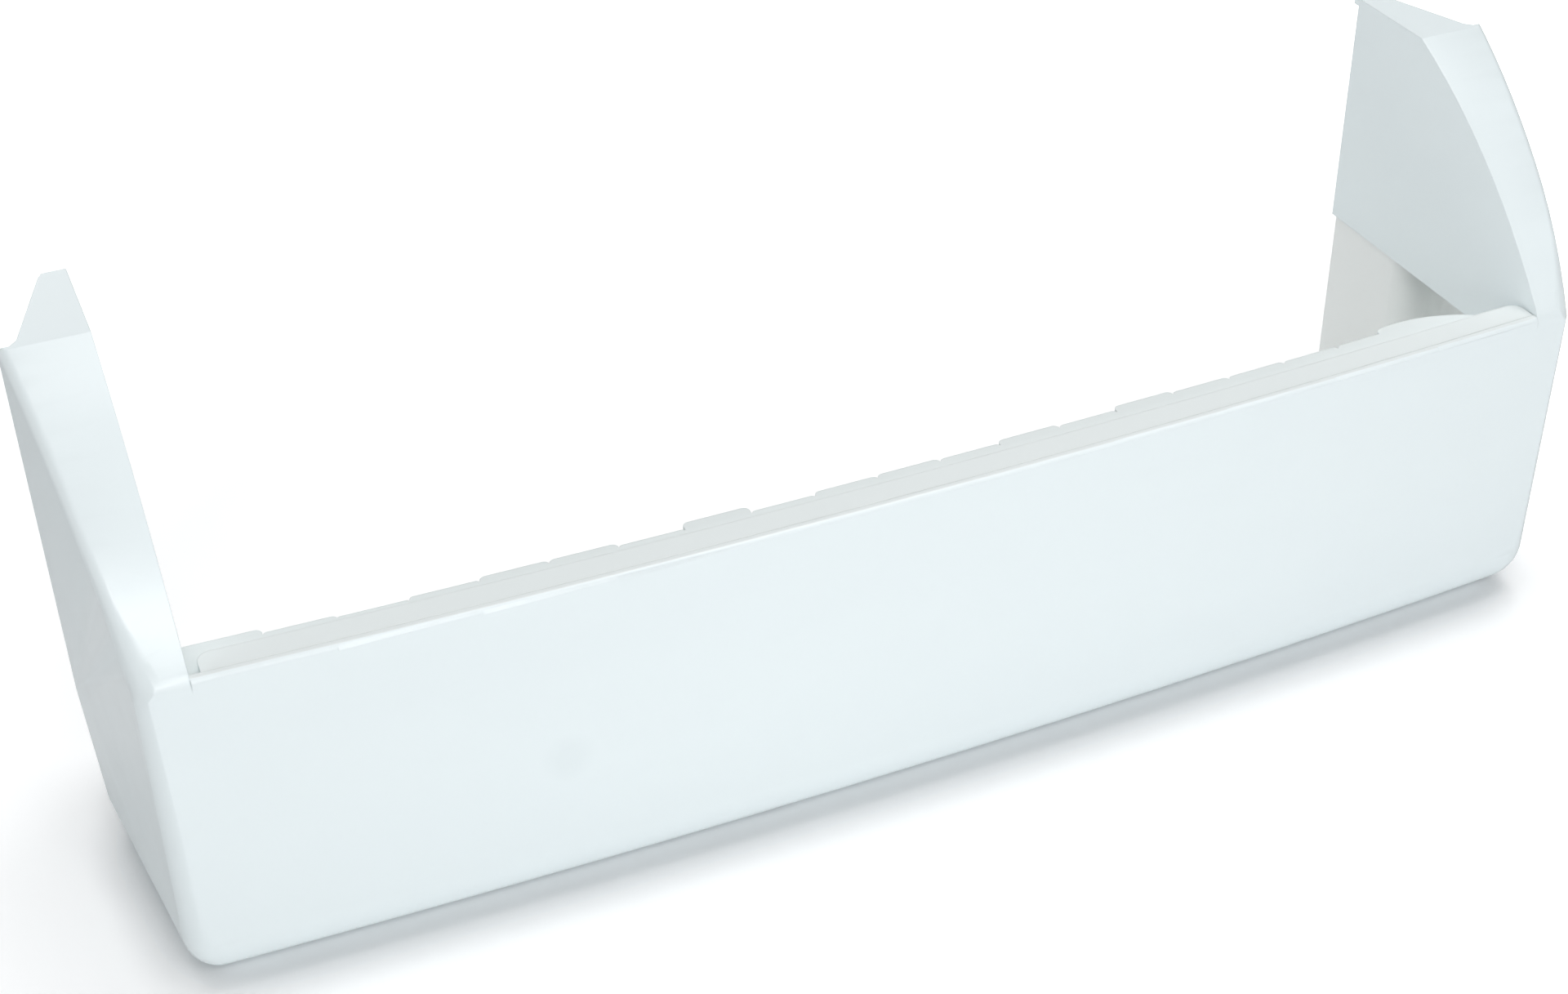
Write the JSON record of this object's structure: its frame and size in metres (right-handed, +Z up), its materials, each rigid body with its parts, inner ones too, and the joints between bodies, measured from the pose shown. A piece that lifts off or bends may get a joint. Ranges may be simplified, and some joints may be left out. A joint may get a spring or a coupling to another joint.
{
  "type": "refrigerator door shelf",
  "caption": "White moulded refrigerator door shelf with a bowed front panel, tall curved end arms and a fluted tray for bottles.",
  "frame": {"origin": "centre of the base: halfway along the shelf and halfway from the front to the back, on the flat lip it stands on", "axes": "+X along the shelf to its right-hand end seen from the front, +Y from the bowed front to the open back, +Z up"},
  "size_m": [0.4736, 0.118, 0.1745],
  "materials": {
    "frame": "smooth, semi-gloss white",
    "tray": "smooth, semi-gloss milky white"
  },
  "bodies": {
    "root": {"frame": "frame", "tray": "tray"}
  },
  "joints": []
}
